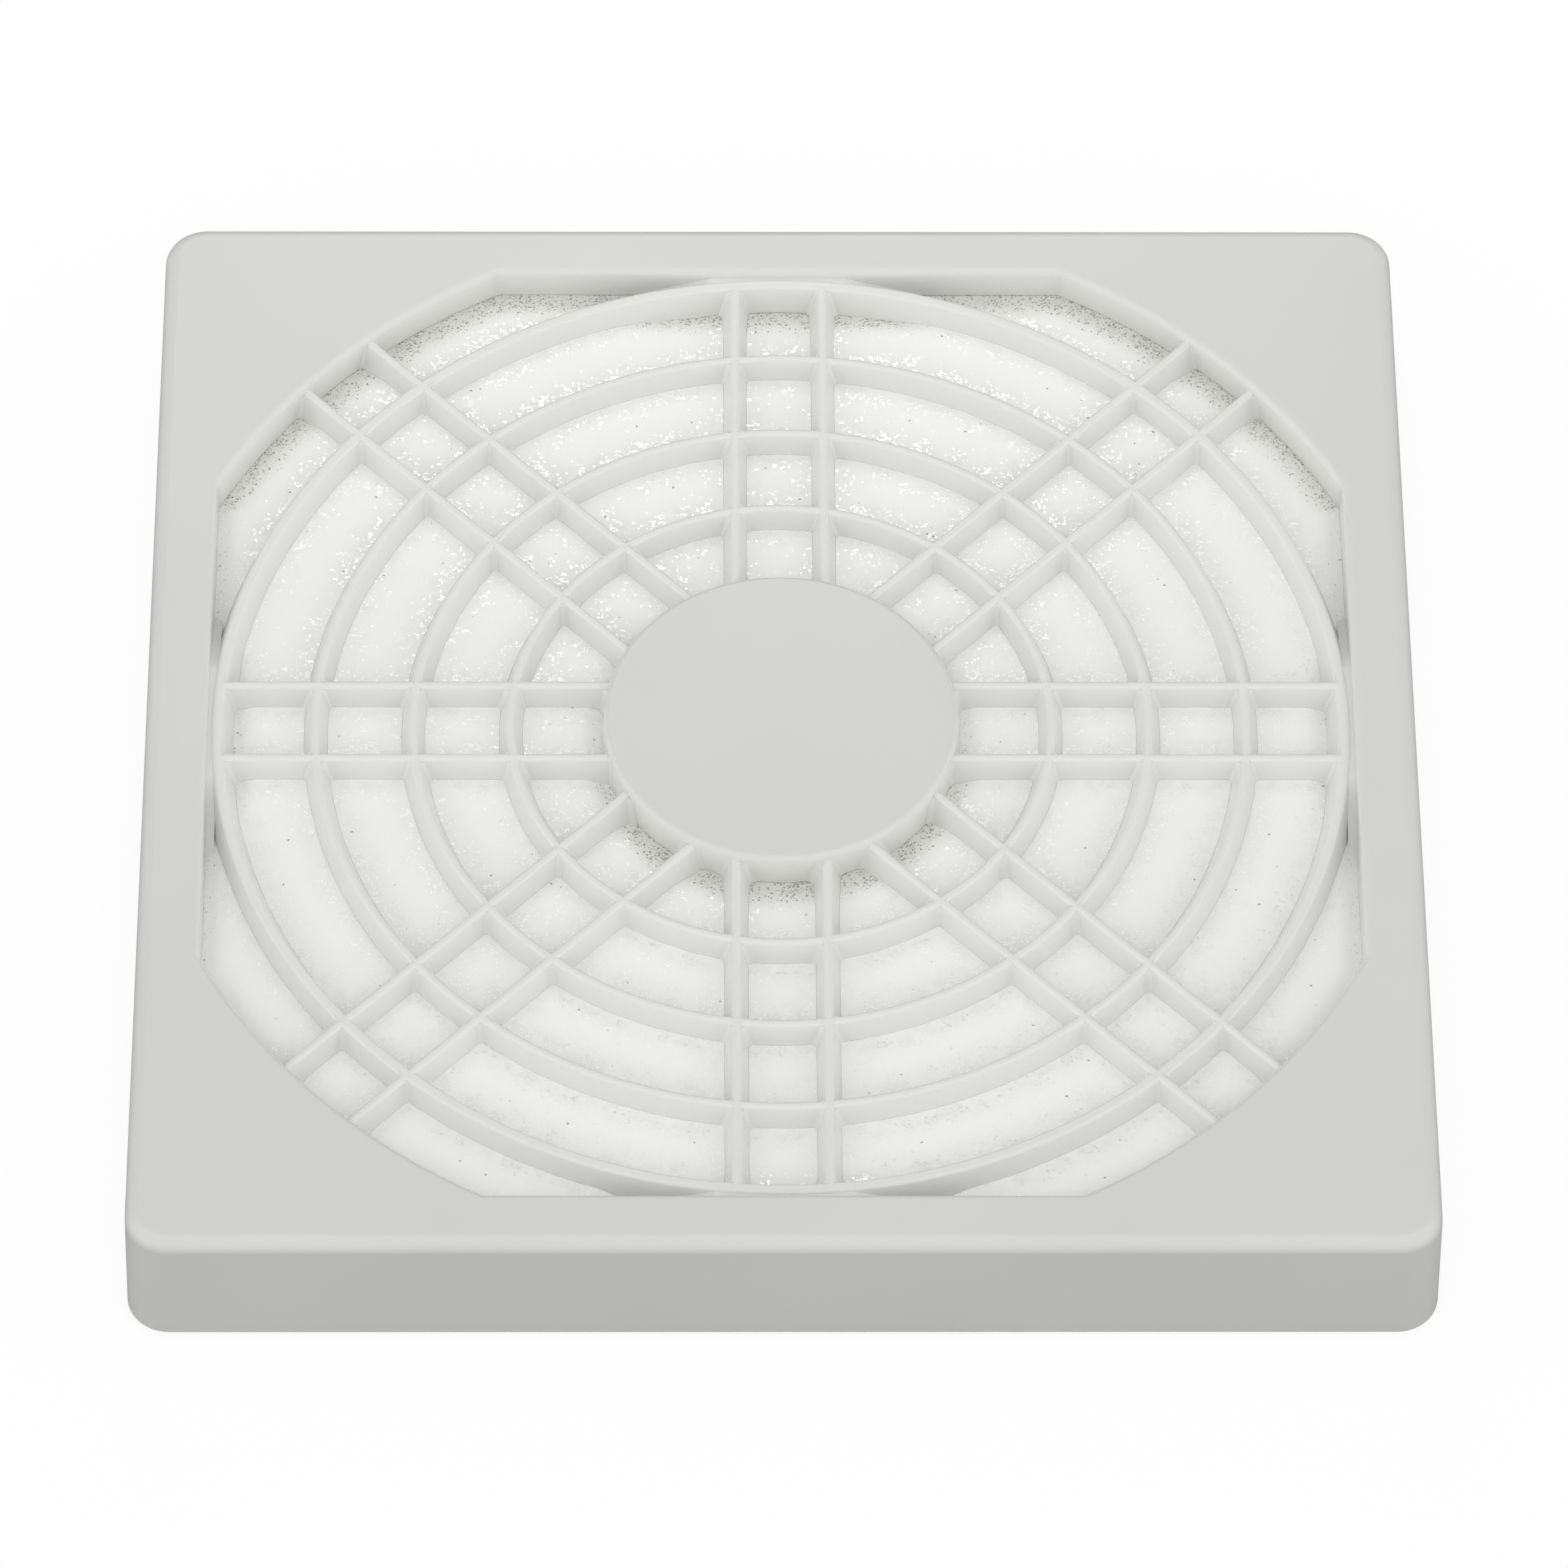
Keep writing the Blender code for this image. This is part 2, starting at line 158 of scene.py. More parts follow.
def product(tree, first, second):
    return add_node(tree, "ShaderNodeMath", {0: first, 1: second}, operation="MULTIPLY").outputs[0]


def noisy(tree, place, size, detail):
    """A soft noise pattern whose lumps are about as large as the size."""
    values = {"Vector": place, "Scale": 1 / size, "Detail": detail}
    return add_node(tree, "ShaderNodeTexNoise", values).outputs


def bumped(tree, shader, height, strength, depth):
    """Gives a shader fine relief that is too small to model."""
    values = {"Height": height, "Strength": strength, "Distance": depth}
    bump = add_node(tree, "ShaderNodeBump", values)
    tree.links.new(bump.outputs["Normal"], shader.inputs["Normal"])


def opaque(grey, warmth=0.0):
    """A grey with a little less blue in it the warmer it is."""
    return (grey, grey, grey * (1 - warmth), 1.0)


print("a warm grey is", [round(value, 3) for value in opaque(0.6, 0.02)])

# %% [markdown]
# ## Moulded plastic
# The cover and the base are ABS, moulded in a light, faintly warm grey. Such a surface is satin, not
# shiny, because the mould was spark-eroded to a fine grain. Its colour drifts very slightly where the
# melt flowed, and a few dust specks cling to it. The grain is far finer than any mesh, so it is bump.
# The plastic lets a little light through. Thin ribs are lit from all sides, so they look lighter than the
# thick face. The finish paints that light into the colour by the place on the part: inside the opening,
# below the face, the ribs are painted lighter and a little warmer.

# %% Where the ribs get painted light
COVER_TOP = frame_high.z
FACE_DEPTH = 0.02 * MM
THIN_DEPTH = 0.40 * MM
THIN_INSIDE = 38.5 * MM
THICK_OUTSIDE = 39.5 * MM


def painted_rib_light_share(tree, place):
    """How much painted light a place gets: 0 on the face and the outer walls, 1 on the ribs."""
    height = add_node(tree, "ShaderNodeSeparateXYZ", {0: place}).outputs["Z"]
    below = ranged(tree, height, COVER_TOP - THIN_DEPTH, COVER_TOP - FACE_DEPTH, 1.0, 0.0)
    sides = add_node(tree, "ShaderNodeVectorMath", {0: place}, operation="ABSOLUTE").outputs[0]
    side = add_node(tree, "ShaderNodeSeparateXYZ", {0: sides})
    both_ways = {0: side.outputs["X"], 1: side.outputs["Y"]}
    widest = add_node(tree, "ShaderNodeMath", both_ways, operation="MAXIMUM").outputs[0]
    inside = ranged(tree, widest, THIN_INSIDE, THICK_OUTSIDE, 1.0, 0.0)
    return product(tree, below, inside)


print("ribs start", round(THIN_DEPTH / MM, 2), "mm under the face")

# %% The plastic's finish
PLASTIC_GREY = 0.645
PLASTIC_WARMTH = 0.022
PLASTIC_ROUGHNESS = (0.32, 0.42)
# Painted light on the ribs: a lighter, slightly warmer colour for light coming through the plastic.
THIN_RIB_PAINTED_LIGHT_GAIN = 1.12
THIN_RIB_PAINTED_LIGHT_WARMTH = 0.027
GRAIN_SIZE = 0.16 * MM
GRAIN_DEPTH = 0.01 * MM
GRAIN_STRENGTH = 0.25
FLOW_SIZE = 14 * MM
FLOW_DRIFT = 0.015
SPECK_SPACING = 13 * MM
SPECK_RADIUS = 0.11 * MM
SPECK_STRENGTH = 0.55
SPECK_COLOUR = opaque(0.30, 0.05)


def moulded_plastic(name, grey, ribbed):
    material, tree = new_material(name)
    shader = tree.nodes["Principled BSDF"]
    place = add_node(tree, "ShaderNodeTexCoord").outputs["Object"]
    flow = noisy(tree, place, FLOW_SIZE, 3.0)["Fac"]
    drift = ranged(tree, flow, 0.3, 0.7, 0.0, 1.0)
    darker = opaque(grey * (1 - FLOW_DRIFT), PLASTIC_WARMTH)
    lighter = opaque(grey * (1 + FLOW_DRIFT), PLASTIC_WARMTH)
    body = mixed(tree, drift, darker, lighter)
    dust = add_node(tree, "ShaderNodeTexVoronoi", {"Vector": place, "Scale": 1 / SPECK_SPACING})
    radius = SPECK_RADIUS / SPECK_SPACING
    speck = ranged(tree, dust.outputs["Distance"], radius / 2, radius, SPECK_STRENGTH, 0.0)
    colour = mixed(tree, speck, body, SPECK_COLOUR)
    # The ribs are painted lighter and warmer: painted light standing in for light coming through the
    # plastic.
    if ribbed:
        painted_rib_light = opaque(grey * THIN_RIB_PAINTED_LIGHT_GAIN, THIN_RIB_PAINTED_LIGHT_WARMTH)
        colour = mixed(tree, painted_rib_light_share(tree, place), colour, painted_rib_light)
    tree.links.new(colour, shader.inputs["Base Color"])
    grain = noisy(tree, place, GRAIN_SIZE, 2.0)["Fac"]
    roughness = ranged(tree, grain, 0.3, 0.7, *PLASTIC_ROUGHNESS)
    tree.links.new(roughness, shader.inputs["Roughness"])
    bumped(tree, shader, grain, GRAIN_STRENGTH, GRAIN_DEPTH)
    return material


cover_plastic = moulded_plastic("cover_plastic", PLASTIC_GREY, ribbed=True)
base_plastic = moulded_plastic("base_plastic", PLASTIC_GREY, ribbed=False)
print("plastic", [material.name for material in (cover_plastic, base_plastic)])

# %% [markdown]
# ## Filter foam
# The pad is white open-cell foam. From a step away it looks smooth. Single cell skins mirror the light
# as sparkles, mostly beside the ribs, where the foam is squeezed. Their near-white colour is a painted
# glint, and the foam round them is painted a little darker, as painted shade. Where the pad sags beside a
# wall its cells are stretched open and their dark pores show as fine dots, and there the foam is painted
# darker and warmer, as painted shade. The mesh carries both as attributes.

# %% Cells of the foam
RUFFLE_SIZE = 0.22 * MM
RUFFLE_REACH = 0.16 * MM
DOT_FADE = 0.25
FAINTEST_DOT = 0.35


def ruffled(tree, place):
    """The place pushed about a little, so that the cells of a pattern lose their even shapes."""
    push = noisy(tree, place, RUFFLE_SIZE, 1.0)["Color"]
    values = {0: push, 1: (RUFFLE_REACH,) * 3, 2: place}
    return add_node(tree, "ShaderNodeVectorMath", values, operation="MULTIPLY_ADD").outputs[0]


def cell_dots(tree, place, size, share, edge=0.28, flat=False):
    """Dots of unlike strengths in some of the cells of a fine pattern. The share says in how many.

    A flat pattern lies in the XY plane, so all its dots are whole on the pad's top.
    """
    kind = "2D" if flat else "3D"
    values = {"Vector": place, "Scale": 1 / size}
    cells = add_node(tree, "ShaderNodeTexVoronoi", values, voronoi_dimensions=kind)
    chances = add_node(tree, "ShaderNodeSeparateColor", {0: cells.outputs["Color"]})
    compared = {0: chances.outputs[0], 1: share}
    chosen = add_node(tree, "ShaderNodeMath", compared, operation="LESS_THAN").outputs[0]
    strength = ranged(tree, chances.outputs[1], 0.0, 0.7, FAINTEST_DOT, 1.0)
    dot = ranged(tree, cells.outputs["Distance"], edge, edge + DOT_FADE, 1.0, 0.0, smooth=True)
    return product(tree, product(tree, chosen, strength), dot)


print("cells pushed about", round(RUFFLE_REACH / MM, 2), "mm")

# %% The foam's finish
# Attributes on the pad that place its painted shade and painted glints.
FOAM_STRETCH_AND_SHADE = "stretch_and_shade"
FOAM_SQUEEZE_GLINT_AND_SHADE = "squeeze_glint_and_shade"
FOAM_WHITE = 0.88
FOAM_WARMTH = 0.016
# Painted shade beside the walls: darker and warmer foam.
STRETCHED_SHADED_WHITE = FOAM_WHITE * 0.84
STRETCHED_SHADED_WARMTH = 0.05
# Painted shade round the skins beside the ribs: slightly darker foam.
SQUEEZED_SHADED_WHITE = FOAM_WHITE * 0.91
PORE_SIZE = 0.21 * MM
PORE_COLOUR = opaque(0.28, 0.12)
PORE_STRENGTH = 0.90
OPEN_SHARES = (0.003, 0.95)
FEWEST_PORES = 0.35
FINE_PORE_SIZE = 0.13 * MM
FINE_PORE_STRENGTH = 0.45
SKIN_SIZE = 0.19 * MM
# Painted glint: the skins' near-white colour, on top of their metallic shine.
SKIN_GLINT_WHITE = 0.99
SKIN_SHINE = 0.80
SKIN_EDGE = 0.36
SKIN_SHARES = (0.01, 0.80)
FEWEST_SKINS = 0.10
FOAM_ROUGHNESS = 0.60
SKIN_ROUGHNESS = 0.30
CLUSTER_SIZE = 1.3 * MM
CELL_BUMP = 0.45
CELL_DEPTH = 0.03 * MM


def filter_foam(name):
    material, tree = new_material(name)
    shader = tree.nodes["Principled BSDF"]
    place = add_node(tree, "ShaderNodeTexCoord").outputs["Object"]
    pushed = ruffled(tree, place)
    stretch_and_shade = add_node(tree, "ShaderNodeAttribute", attribute_name=FOAM_STRETCH_AND_SHADE).outputs["Fac"]
    squeeze_glint_and_shade = add_node(tree, "ShaderNodeAttribute", attribute_name=FOAM_SQUEEZE_GLINT_AND_SHADE).outputs["Fac"]
    cluster = noisy(tree, place, CLUSTER_SIZE, 3.0)["Fac"]
    patchy = ranged(tree, cluster, 0.40, 0.60, FEWEST_PORES, 1.0)
    # The pores are the foam's own, but they gather where the painted shade beside the walls lies.
    open_share = ranged(tree, stretch_and_shade, 0.10, 0.95, *OPEN_SHARES, smooth=True)
    pore_share = product(tree, open_share, patchy)
    pores = product(tree, cell_dots(tree, pushed, PORE_SIZE, pore_share), PORE_STRENGTH)
    fine_share = product(tree, ranged(tree, stretch_and_shade, 0.10, 0.9, 0.0, 1.0), patchy)
    fine = product(tree, cell_dots(tree, pushed, FINE_PORE_SIZE, fine_share), FINE_PORE_STRENGTH)
    skin_patchy = ranged(tree, cluster, 0.42, 0.58, FEWEST_SKINS, 1.0)
    skin_share = product(tree, skin_patchy, ranged(tree, squeeze_glint_and_shade, 0.0, 1.0, *SKIN_SHARES))
    glinting_skins = cell_dots(tree, pushed, SKIN_SIZE, skin_share, edge=SKIN_EDGE, flat=True)
    white = opaque(FOAM_WHITE, FOAM_WARMTH)
    # Beside the walls the foam is painted darker and warmer: painted shade, most where the wall lies to
    # the back.
    wall_shaded = mixed(tree, stretch_and_shade, white, opaque(STRETCHED_SHADED_WHITE, STRETCHED_SHADED_WARMTH))
    # Round the skins beside the ribs the foam is painted a little darker: painted shade.
    pressed_shade = product(tree, squeeze_glint_and_shade, skin_patchy)
    shaded_ground = mixed(tree, pressed_shade, wall_shaded, opaque(SQUEEZED_SHADED_WHITE, FOAM_WARMTH))
    # The skins are painted near white: a painted glint, on top of their metallic shine.
    lit = mixed(tree, glinting_skins, shaded_ground, opaque(SKIN_GLINT_WHITE))
    speckled = mixed(tree, fine, lit, PORE_COLOUR)
    colour = mixed(tree, pores, speckled, PORE_COLOUR)
    tree.links.new(colour, shader.inputs["Base Color"])
    roughness = ranged(tree, glinting_skins, 0.0, 1.0, FOAM_ROUGHNESS, SKIN_ROUGHNESS)
    tree.links.new(roughness, shader.inputs["Roughness"])
    tree.links.new(product(tree, glinting_skins, SKIN_SHINE), shader.inputs["Metallic"])
    shader.inputs["Specular IOR Level"].default_value = 1.0
    bumped(tree, shader, noisy(tree, place, PORE_SIZE, 3.0)["Fac"], CELL_BUMP, CELL_DEPTH)
    return material


foam_white = filter_foam("filter_foam")
print("foam pores", round(PORE_SIZE / MM, 2), "mm")

# %% [markdown]
# ## Helpers for shapes
# Each shape starts as a bmesh, a mesh that operators can work on. A shape that only cuts or joins
# another is kept in a tray collection. The tray is handed to one exact Boolean and then thrown away.

# %% Shape helpers
WELD = 0.001 * MM
LEVEL = 0.01 * MM


def scene_object(bm, name, collection=None):
    mesh = bpy.data.meshes.new(name)
    bm.to_mesh(mesh)
    bm.free()
    made = bpy.data.objects.new(name, mesh)
    (collection or bpy.context.scene.collection).objects.link(made)
    return made


def tray(name):
    made = bpy.data.collections.new(name)
    bpy.context.scene.collection.children.link(made)
    return made


def combine(target, operation, shapes):
    step = target.modifiers.new(shapes.name, "BOOLEAN")
    step.operand_type = "COLLECTION"
    step.collection = shapes
    step.operation = operation
    step.solver = "EXACT"


def pull(bm, way):
    """Extrudes the flat section that the bmesh holds along a way, into a closed bar."""
    pulled = bmesh.ops.extrude_face_region(bm, geom=bm.faces[:], use_keep_orig=True)
    moved = [item for item in pulled["geom"] if isinstance(item, bmesh.types.BMVert)]
    bmesh.ops.translate(bm, vec=way, verts=moved)


def four_bars(name, corners, way, collection):
    """Pulls a section into a bar and puts one on each side of the guard."""
    for count in range(4):
        bm = bmesh.new()
        bm.faces.new([bm.verts.new(corner) for corner in corners])
        pull(bm, way)
        turn = Matrix.Rotation(math.tau * count / 4, 3, "Z")
        bmesh.ops.rotate(bm, cent=(0, 0, 0), matrix=turn, verts=bm.verts)
        bmesh.ops.recalc_face_normals(bm, faces=bm.faces)
        scene_object(bm, f"{name}_{count}", collection)


print("points closer than", round(WELD / MM, 3), "mm are welded")

# %% [markdown]
# ## Helpers that finish a piece
# A Boolean leaves doubled points and now and then a loose sliver of a face. Both go before the piece is
# shaded, so that it is one closed skin. Weighted normals then keep the large flat faces truly flat.

# %% Finishing helpers
SHARP_ANGLE = math.radians(32)
FLAT_FACE_WEIGHT = 90


def settle(target, trays):
    """Applies the Booleans, welds the mesh, deletes loose slivers and clears the trays away."""
    evaluated = target.evaluated_get(bpy.context.evaluated_depsgraph_get())
    mesh = bpy.data.meshes.new_from_object(evaluated)
    target.modifiers.clear()
    target.data = mesh
    mesh.name = target.name
    bm = bmesh.new()
    bm.from_mesh(mesh)
    bmesh.ops.remove_doubles(bm, verts=bm.verts, dist=WELD)
    slivers = [face for face in bm.faces if all(edge.is_boundary for edge in face.edges)]
    bmesh.ops.delete(bm, geom=slivers, context="FACES")
    bm.to_mesh(mesh)
    open_edges = sum(not edge.is_manifold for edge in bm.edges)
    bm.free()
    for shapes in trays:
        for helper in list(shapes.objects):
            bpy.data.objects.remove(helper)
        bpy.data.collections.remove(shapes)
    print(target.name, len(mesh.polygons), "faces,", len(slivers), "slivers,", open_edges, "open edges")


def shade(target, material):
    """Smooth curves and crisp corners, with the large flat faces kept flat."""
    mesh = target.data
    mesh.materials.clear()
    mesh.materials.append(material)
    mesh.shade_smooth()
    mesh.set_sharp_from_angle(angle=SHARP_ANGLE)
    weigh = target.modifiers.new("weighted normals", "WEIGHTED_NORMAL")
    weigh.keep_sharp = True
    weigh.weight = FLAT_FACE_WEIGHT


print("edges sharper than", round(math.degrees(SHARP_ANGLE)), "degrees stay crisp")

# %% [markdown]
# ## Ribs
# Every rib of the grille has the same section: a narrow rounded top and flanks that spread towards
# the foot, because a rib with upright flanks would stick in its mould. The section is drawn once, as
# one face with two bevelled corners. Spun round the axis it is a ring, and pulled straight it is a spoke.

# %% The rib's section
RIB_TOP = COVER_TOP - 0.5 * MM
RIB_FOOT = RIB_TOP - 1.9 * MM
RIB_TOP_WIDTH = 0.5 * MM
OUTER_RING_TOP_WIDTH = 0.7 * MM
RIB_DRAFT = math.radians(19)
RIB_ROUNDING = 0.19 * MM


def rib_face(bm, sideways, top_width=RIB_TOP_WIDTH, grown=0.0):
    """One rib's section in the XZ plane, its middle at x = sideways. It can be grown on every side."""
    half_top = top_width / 2 + grown
    half_foot = half_top + (RIB_TOP - RIB_FOOT) * math.tan(RIB_DRAFT)
    top, foot = RIB_TOP + grown, RIB_FOOT - grown
    corners = [(half_top, top), (half_foot, foot), (-half_foot, foot), (-half_top, top)]
    verts = [bm.verts.new((sideways + x, 0.0, z)) for x, z in corners]
    bm.faces.new(verts)
    bmesh.ops.bevel(
        bm, geom=[verts[0], verts[3]], offset=RIB_ROUNDING, segments=3, profile=0.5,
        affect="VERTICES", material=-1,
    )


def spun(bm, steps):
    """Spins the outline of what the bmesh holds once round the Z axis."""
    bmesh.ops.delete(bm, geom=bm.faces, context="FACES_ONLY")
    bmesh.ops.spin(
        bm, geom=bm.verts[:] + bm.edges[:], cent=(0, 0, 0), axis=(0, 0, 1), angle=math.tau,
        steps=steps, use_merge=True,
    )
    bmesh.ops.remove_doubles(bm, verts=bm.verts, dist=WELD)
    bmesh.ops.recalc_face_normals(bm, faces=bm.faces)


print("ribs", round(RIB_TOP_WIDTH / MM, 2), "mm wide at the top")

# %% [markdown]
# ## Rings and spokes
# The rings are evenly spaced. The spokes come in parallel pairs, eight of them, and each pair looks
# like a small ladder where it crosses the rings. The level and upright pairs stop at the outer ring,
# and the slanting ones run on to the corners of the opening.

# %% Rings and spokes
FIRST_RING = 18.0 * MM
RING_PITCH = 6.5 * MM
RING_RADII = [FIRST_RING + RING_PITCH * count for count in range(4)]
RING_STEPS = 160
SPOKE_OFFSET = 3.0 * MM
HUB_RADIUS = 11.8 * MM
HUB_WALL = 1.4 * MM
OPENING_RADIUS = 42.75 * MM
OPENING_HALF = 38.15 * MM
LIP_WALL = 1.4 * MM


def chord(radius, offset):
    """How far out a line that passes the centre at an offset meets a circle."""
    return math.sqrt(radius ** 2 - offset ** 2)


def ring(name, radius, collection, grown=0.0):
    bm = bmesh.new()
    outer = radius == RING_RADII[-1]
    rib_face(bm, radius, OUTER_RING_TOP_WIDTH if outer else RIB_TOP_WIDTH, grown)
    spun(bm, RING_STEPS)
    return scene_object(bm, name, collection)


def spoke(name, angle, offset, reach, collection, grown=0.0):
    """A straight rib from inside the hub's wall to its reach, turned to its place."""
    bm = bmesh.new()
    rib_face(bm, offset, RIB_TOP_WIDTH, grown)
    start = chord(HUB_RADIUS - HUB_WALL / 2, SPOKE_OFFSET)
    bmesh.ops.translate(bm, vec=(0, start, 0), verts=bm.verts)
    pull(bm, (0, reach - start, 0))
    bmesh.ops.rotate(bm, cent=(0, 0, 0), matrix=Matrix.Rotation(angle, 3, "Z"), verts=bm.verts)
    bmesh.ops.recalc_face_normals(bm, faces=bm.faces)
    return scene_object(bm, name, collection)


def ribs(collection, grown=0.0):
    """All the rings, and the pairs of spokes."""
    for count, radius in enumerate(RING_RADII):
        ring(f"ring_{count}", radius, collection, grown)
    for count in range(8):
        far = OPENING_RADIUS + LIP_WALL / 2 if count % 2 else RING_RADII[-1]
        reach = chord(far, SPOKE_OFFSET)
        for side in (-1, 1):
            turn = math.tau * count / 8
            spoke(f"spoke_{count}_{side}", turn, side * SPOKE_OFFSET, reach, collection, grown)


print("rings at", [round(radius / MM, 1) for radius in RING_RADII], "mm")

# %% [markdown]
# ## Fillets
# Every inner corner of the grille is filleted, because the mould was eroded with a tool that had rounded
# edges. A post stands in each crossing, and its hollow sides fill the corners. A bevel can't do this,
# because the ribs only become one mesh in the Boolean, and its edges there are too short to bevel.

# %% Fillets
FILLET = 0.40 * MM
FILLET_SINK = 0.025 * MM
FILLET_STEPS = 4
FILLET_ROOT = 0.5 * MM
HUB_FOOT_SPREAD = 0.14 * MM
OPENING_DRAFT = math.radians(3)
OUTWARDS = [(1, -1), (1, 1)]
INWARDS = [(-1, 1), (-1, -1)]


def crossing(name, place, spoke_way, ring_way, rib_halves, quarters, collection, grown):
    """Fills the inner corners where a spoke meets a ring or a wall, each with a concave fillet.

    rib_halves gives, for each level, the half widths of the spoke and of the ring. The quarters say
    on which sides of the crossing there are corners, along the spoke and along the ring.
    """
    lean = spoke_way.dot(ring_way)
    turn = math.sqrt(1 - lean ** 2)
    off_spoke = (ring_way - lean * spoke_way) / turn
    off_ring = (spoke_way - lean * ring_way) / turn
    bm = bmesh.new()
    loops = []
    for height, spoke_half, ring_half in rib_halves:
        points = []
        for along, across in quarters:
            centre = spoke_way * along * (ring_half + FILLET - FILLET_SINK) / turn
            centre += ring_way * across * (spoke_half + FILLET - FILLET_SINK) / turn
            ends = [across * off_spoke, along * off_ring]
            if along * across < 0:
                ends.reverse()
            for step in range(FILLET_STEPS + 1):
                way = ends[0].slerp(ends[1], step / FILLET_STEPS)
                points.append(centre - (FILLET - grown) * way)
        if len(quarters) == 2:
            back = -quarters[0][0] * FILLET_ROOT * spoke_way
            points += [points[-1] + back, points[0] + back]
        loops.append([bm.verts.new(place + point + Vector((0, 0, height))) for point in points])
    lower, upper = loops
    bm.faces.new(lower)
    bm.faces.new(upper)
    for corners in zip(lower, lower[1:] + lower[:1], upper[1:] + upper[:1], upper):
        bm.faces.new(corners)
    bmesh.ops.recalc_face_normals(bm, faces=bm.faces)
    return scene_object(bm, name, collection)


def crossings(collection, grown=0.0):
    """A fillet in every inner corner of the grille: at the rings, at the hub and at the opening."""
    levels = [(RIB_FOOT - grown, RIB_TOP - RIB_FOOT), (RIB_TOP - RIB_ROUNDING, RIB_ROUNDING)]
    for count in range(8):
        spoke_way = Vector((-math.sin(math.tau * count / 8), math.cos(math.tau * count / 8), 0))
        across = Vector((spoke_way.y, -spoke_way.x, 0))
        stops = [(HUB_RADIUS, 0.0, HUB_FOOT_SPREAD, OUTWARDS)]
        stops += [(radius, RIB_TOP_WIDTH / 2, None, OUTWARDS + INWARDS) for radius in RING_RADII[:-1]]
        last = OUTWARDS + INWARDS if count % 2 else INWARDS
        stops.append((RING_RADII[-1], OUTER_RING_TOP_WIDTH / 2, None, last))
        if count % 2:
            lean = (RIB_TOP - RIB_FOOT) * math.tan(OPENING_DRAFT)
            stops.append((OPENING_RADIUS, 0.0, lean, INWARDS))
        for side in (-1, 1):
            for stop, (radius, half_top, spread, quarters) in enumerate(stops):
                place = spoke_way * chord(radius, SPOKE_OFFSET) + across * side * SPOKE_OFFSET
                ring_way = Vector((-place.y, place.x, 0)).normalized()
                halves = []
                for height, drop in levels:
                    flare = drop * math.tan(RIB_DRAFT)
                    wall = flare if spread is None else spread * drop / (RIB_TOP - RIB_FOOT)
                    halves.append((height, RIB_TOP_WIDTH / 2 + flare, half_top + wall))
                name = f"crossing_{count}_{side}_{stop}"
                crossing(name, place, spoke_way, ring_way, halves, quarters, collection, grown)


print("fillets of", round(FILLET / MM, 2), "mm")

# %% [markdown]
# ## Webs and hub
# Where the outer ring nearly touches each side of the opening, steel as thin as the gap would break in
# the mould. So the gap is shallow there and deepens to both sides, and a web of plastic fills the rest.
# The hub is a plain disc, hollow at the back as thick mouldings are, and its profile is spun.

# %% Webs
WEB_DEPTH = 0.15 * MM
WEB_FLAT = 4.5 * MM
WEB_REACH = 10.0 * MM


def webs(collection, grown=0.0):
    """Fills the narrow gap between the outer ring and each side of the opening."""
    top, foot = RIB_TOP - WEB_DEPTH + grown, RIB_FOOT - grown
    section = [(-WEB_REACH, foot), (WEB_REACH, foot), (WEB_FLAT, top), (-WEB_FLAT, top)]
    near, far = RING_RADII[-1], OPENING_HALF + LIP_WALL / 2
    four_bars("web", [(near, y, z) for y, z in section], (far - near, 0, 0), collection)


print("webs", round(WEB_DEPTH / MM, 2), "mm under the rib tops")

# %% Hub
HUB_ROUNDING = 0.4 * MM
HUB_FACE = 1.6 * MM
ROUNDING_STEPS = 6


def quarter_round(radius):
    """Points of a rounded edge, as (sideways, upwards) from where it leaves the upright side."""
    turns = [math.radians(90) * step / ROUNDING_STEPS for step in range(ROUNDING_STEPS + 1)]
    return [(radius * (1 - math.cos(turn)), radius * math.sin(turn)) for turn in turns]


def hub(collection):
    """The plain disc in the middle, with a rounded edge and a hollow back."""
    bm = bmesh.new()
    shoulder = COVER_TOP - HUB_ROUNDING
    hollow = HUB_RADIUS - HUB_WALL
    edge = [(HUB_RADIUS - inwards, shoulder + rise) for inwards, rise in quarter_round(HUB_ROUNDING)]
    profile = [(0.0, COVER_TOP)] + edge[::-1] + [(HUB_RADIUS + HUB_FOOT_SPREAD, RIB_FOOT)]
    profile += [(hollow, RIB_FOOT), (hollow, COVER_TOP - HUB_FACE), (0.0, COVER_TOP - HUB_FACE)]
    verts = [bm.verts.new((x, 0.0, z)) for x, z in profile]
    for pair in zip(verts, verts[1:]):
        bm.edges.new(pair)
    spun(bm, RING_STEPS)
    return scene_object(bm, "hub", collection)


print("hub", round(2 * HUB_RADIUS / MM, 1), "mm across")

# %% Put the grille together
grille = tray("grille")
ribs(grille)
crossings(grille)
webs(grille)
hub(grille)

# %% [markdown]
# ## The cover's shell
# The cover is a shallow tray with the face on top. A cube is drawn in towards the top, as the mould
# needs, and its upright and top edges are bevelled. A smaller block hollows it out. The opening is cut
# by a stack of outlines that flares at the face, which leaves the soft rounded edge of the real one.

# %% Tapered blocks
cover_low, cover_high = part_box("outer_cover")
COVER_HALF = cover_high.x
SIDE_DRAFT = math.radians(1.5)
CORNER_STEPS = 12


